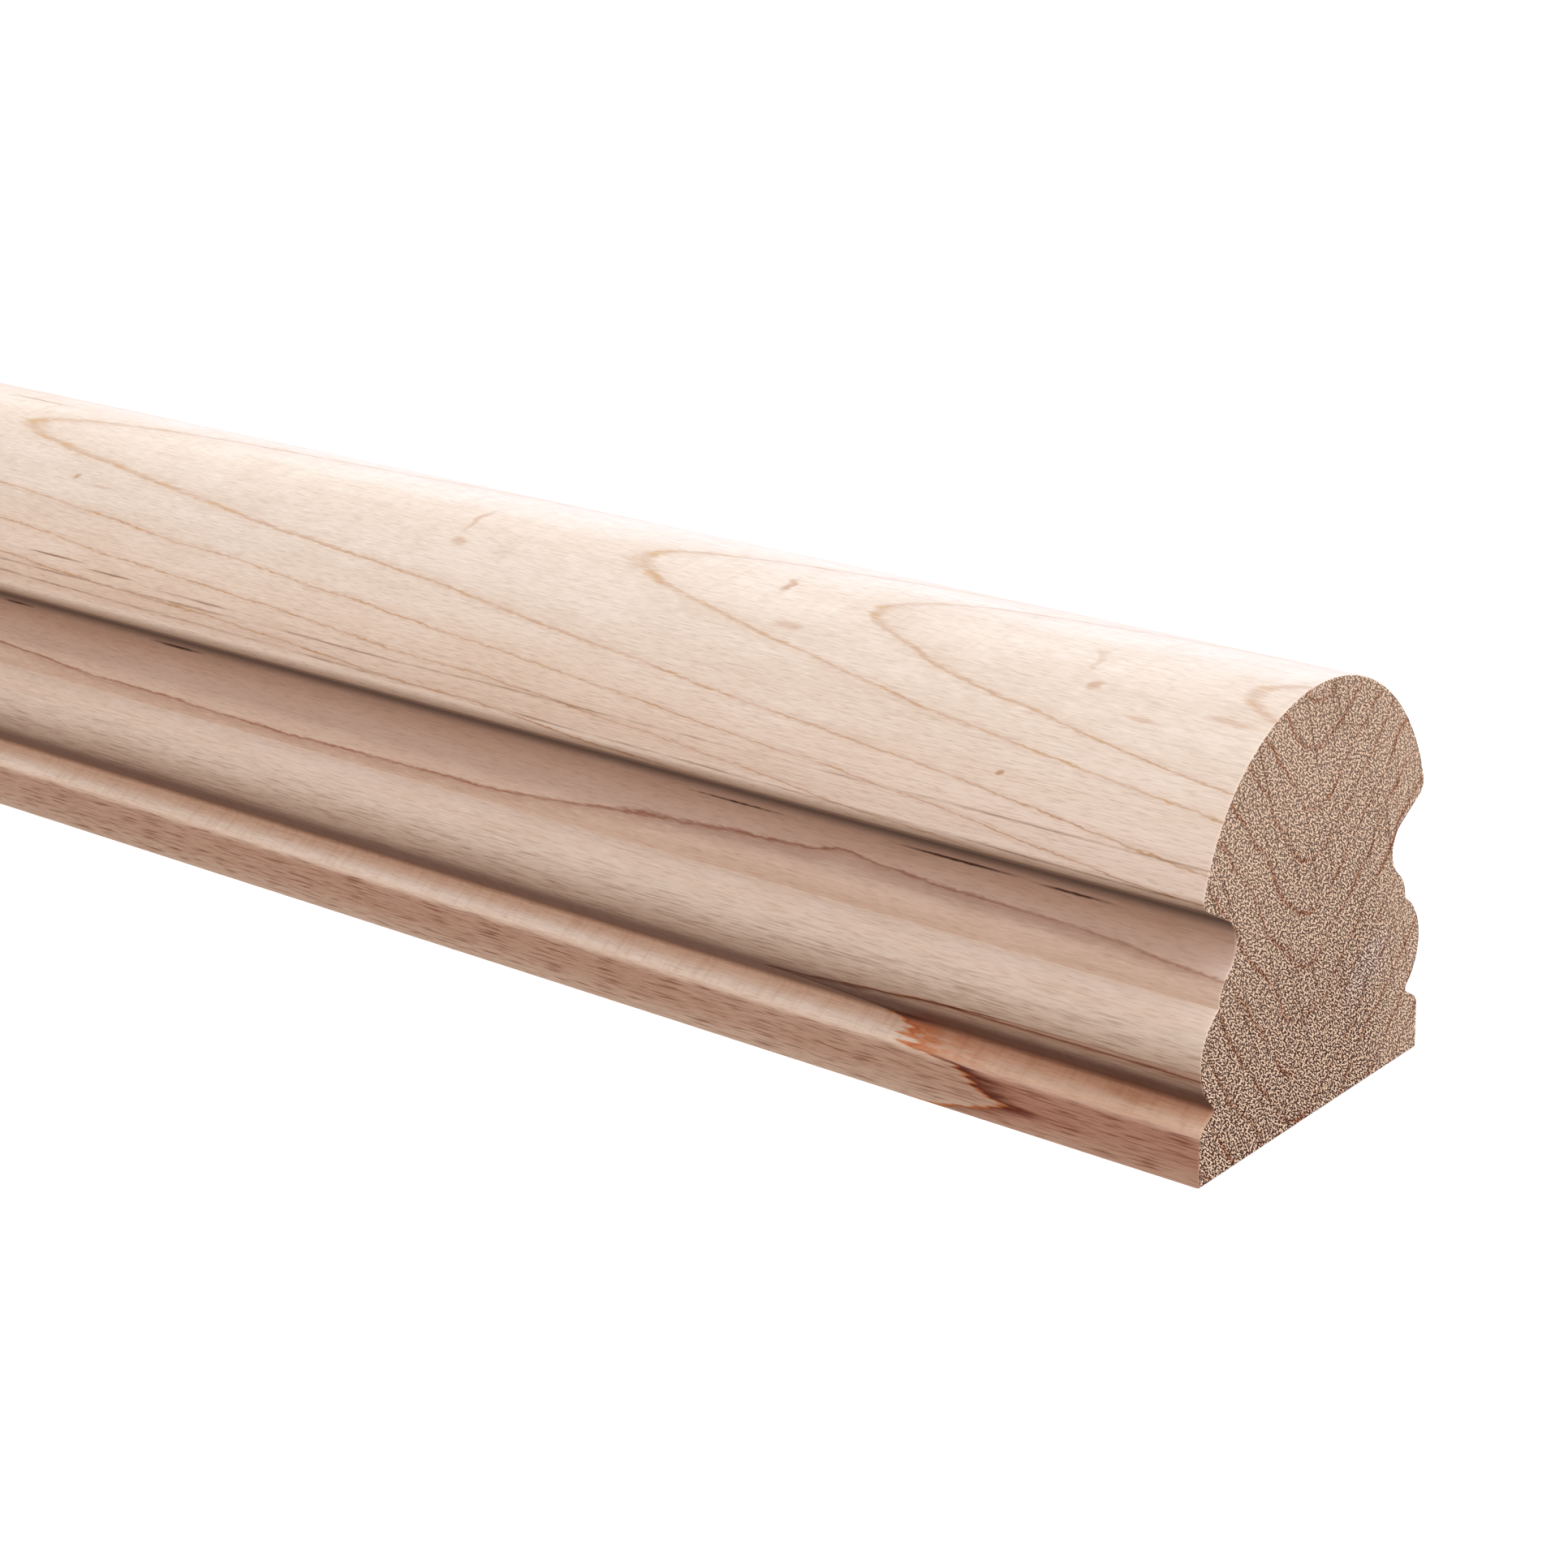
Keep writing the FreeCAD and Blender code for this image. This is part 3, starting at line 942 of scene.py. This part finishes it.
def makeRail():
    outline = sectionOutline()
    curve = bpy.data.curves.new("railOutline", "CURVE")
    curve.dimensions = "3D"
    spline = curve.splines.new("POLY")
    spline.points.add(len(outline) - 1)
    for point, place in zip(spline.points, outline):
        point.co = (0, place.x, place.y, 1)
    spline.use_cyclic_u = True
    outlineObject = bpy.data.objects.new("railOutline", curve)
    bpy.context.collection.objects.link(outlineObject)

    tree = makeRailTree()
    rail = bpy.data.objects.new("railGrid", bpy.data.meshes.new("railGrid"))
    bpy.context.collection.objects.link(rail)
    sweep = rail.modifiers.new("railSweep", "NODES")
    sweep.node_group = tree
    settings = {
        "Section": outlineObject,
        "Outline Points": len(outline),
        "Cap Rings": railMesh["capRings"],
        "Arris Steps": railMesh["arrisSteps"],
        "Side Stations": railMesh["sideStations"],
        "Bunching": railMesh["bunching"],
        "Length": railLength,
        "Arris": railMesh["arris"],
        "Heart Height": railMesh["heart"],
        "Saw Depth": railMesh["sawDepth"],
        "Seed": railMesh["seed"],
        "Side Material": makeLongGrain(),
        "End Material": makeEndGrain(),
    }
    for item in tree.interface.items_tree:
        if item.in_out == "INPUT":
            sweep[item.identifier] = settings[item.name]
    evaluated = rail.evaluated_get(bpy.context.evaluated_depsgraph_get())
    mesh = bpy.data.meshes.new_from_object(evaluated)
    mesh.name = "mapleHandrail"
    rail.modifiers.remove(sweep)
    bpy.data.objects.remove(rail)
    bpy.data.objects.remove(outlineObject)
    piece = bpy.data.objects.new("mapleHandrail", mesh)
    bpy.context.collection.objects.link(piece)
    return piece


handrail = makeRail()
triangles = sum(len(face.vertices) - 2 for face in handrail.data.polygons)
print("rail made,", triangles, "triangles,", len(handrail.data.materials), "materials")
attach(handrail, "root")
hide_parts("handrail")

# Floor, light and camera
studio = {
    "floorSize": 2000.0,  # so large that its far edge stays out of sight
    "paper": "FFFFFF",
    # colour and strength of the surround at each height in degrees
    "sky": ((0.0, "FFC1AE", 0.86), (20.0, "FFF0CD", 1.24), (45.0, "F9E7FF", 0.8), (90.0, "E0FFFF", 3.2)),
    "darkBelow": -20.0,  # degrees, from where no light comes
    "paperGlow": 0.4,
    # white panels: size, place, turn in degrees, colour and watts
    "panels": {
        "backPanel": ((5.0, 1.6), (0.6, 2.6, 1.0), (-100.0, 0.0, 0.0), "9FCBFF", 48.0),
        "endPanel": ((1.6, 1.6), (4.2, 0.5, 0.7), (0.0, 100.0, 0.0), "FFFFFF", 45.0),
    },
}


def makeStudio():
    half = studio["floorSize"] / 2
    corners = [(-half, -half, 0), (half, -half, 0), (half, half, 0), (-half, half, 0)]
    mesh = bpy.data.meshes.new("studioFloor")
    mesh.from_pydata(corners, [], [(0, 1, 2, 3)])
    floor = bpy.data.objects.new("studioFloor", mesh)
    bpy.context.collection.objects.link(floor)
    material = bpy.data.materials.new("studioPaper")
    material.use_nodes = True
    tree = material.node_tree
    tree.nodes.clear()
    paper = addNode(tree, "ShaderNodeBsdfDiffuse", hexColour(studio["paper"]))
    glow = addNode(tree, "ShaderNodeEmission", hexColour(studio["paper"]), studio["paperGlow"])
    addNode(tree, "ShaderNodeOutputMaterial", addNode(tree, "ShaderNodeAddShader", paper, glow))
    mesh.materials.append(material)
    floor.visible_diffuse = False  # the paper throws no light back on the rail
    floor.visible_glossy = False

    # Soft light all round from above: warm and low at the sides, brightest overhead, nothing from below
    world = bpy.data.worlds.new("softStudio")
    world.use_nodes = True
    tree = world.node_tree
    tree.nodes.clear()
    direction = addNode(tree, "ShaderNodeTexCoord").outputs["Generated"]
    up = addNode(tree, "ShaderNodeSeparateXYZ", direction).outputs["Z"]
    height = addNode(tree, maths, up, operation="ARCSINE")
    brightest = max(strength for _, _, strength in studio["sky"])
    upward = addNode(tree, mapRange, height, -math.pi / 2, math.pi / 2, 0.0, 1.0)
    ramp = addNode(tree, "ShaderNodeValToRGB", upward)
    stops = ramp.color_ramp.elements
    stops[0].position = (studio["darkBelow"] + 90) / 180
    stops[0].color = (0, 0, 0, 1)
    stops.remove(stops[1])
    for degrees, colour, strength in studio["sky"]:
        stop = stops.new((degrees + 90) / 180)
        stop.color = [channel * strength / brightest for channel in hexColour(colour)[:3]] + [1]
    light = addNode(tree, "ShaderNodeBackground", ramp, brightest)
    addNode(tree, "ShaderNodeOutputWorld", light)
    bpy.context.scene.world = world
    bpy.context.scene.view_settings.view_transform = "Standard"

    # One panel behind the rail for the bright rim along its crown, one that faces its near end
    for name, (size, place, turn, colour, watts) in studio["panels"].items():
        panel = bpy.data.lights.new(name, "AREA")
        panel.shape = "RECTANGLE"
        panel.size, panel.size_y = size
        panel.energy = watts
        panel.color = hexColour(colour)[:3]
        stand = bpy.data.objects.new(name, panel)
        bpy.context.collection.objects.link(stand)
        stand.location = place
        stand.rotation_euler = [math.radians(angle) for angle in turn]


# Camera worked out from the rail's edges in the photograph, from the middle of the near end's base
view = {
    "place": (241.43 * mm, -406.36 * mm, 223.70 * mm),
    "azimuth": 39.4626,
    "elevation": 17.9821,
    "roll": -1.1802,
    "focalPixels": 4553.9,
    "imagePixels": 1932,
    "axisPixel": 778.7,  # row of the lens axis, above the middle because the picture is cut from a taller one
    "sensor": 36.0,
}


def makeCamera():
    camera = bpy.data.cameras.new("photoView")
    camera.sensor_width = view["sensor"]
    camera.lens = view["focalPixels"] / view["imagePixels"] * view["sensor"]
    camera.shift_y = view["axisPixel"] / view["imagePixels"] - 0.5
    camera.clip_start = 0.01
    camera.clip_end = studio["floorSize"]
    camera.dof.use_dof = False
    viewer = bpy.data.objects.new("photoView", camera)
    bpy.context.collection.objects.link(viewer)
    tilt = Euler((math.radians(90 - view["elevation"]), 0, math.radians(view["azimuth"])))
    roll = Matrix.Rotation(math.radians(view["roll"]), 4, "Z")
    place = Matrix.Translation(Vector((nearEnd, 0, 0)) + Vector(view["place"]))
    viewer.matrix_world = place @ tilt.to_matrix().to_4x4() @ roll
    bpy.context.scene.camera = viewer


makeStudio()
makeCamera()
print("studio and camera set")
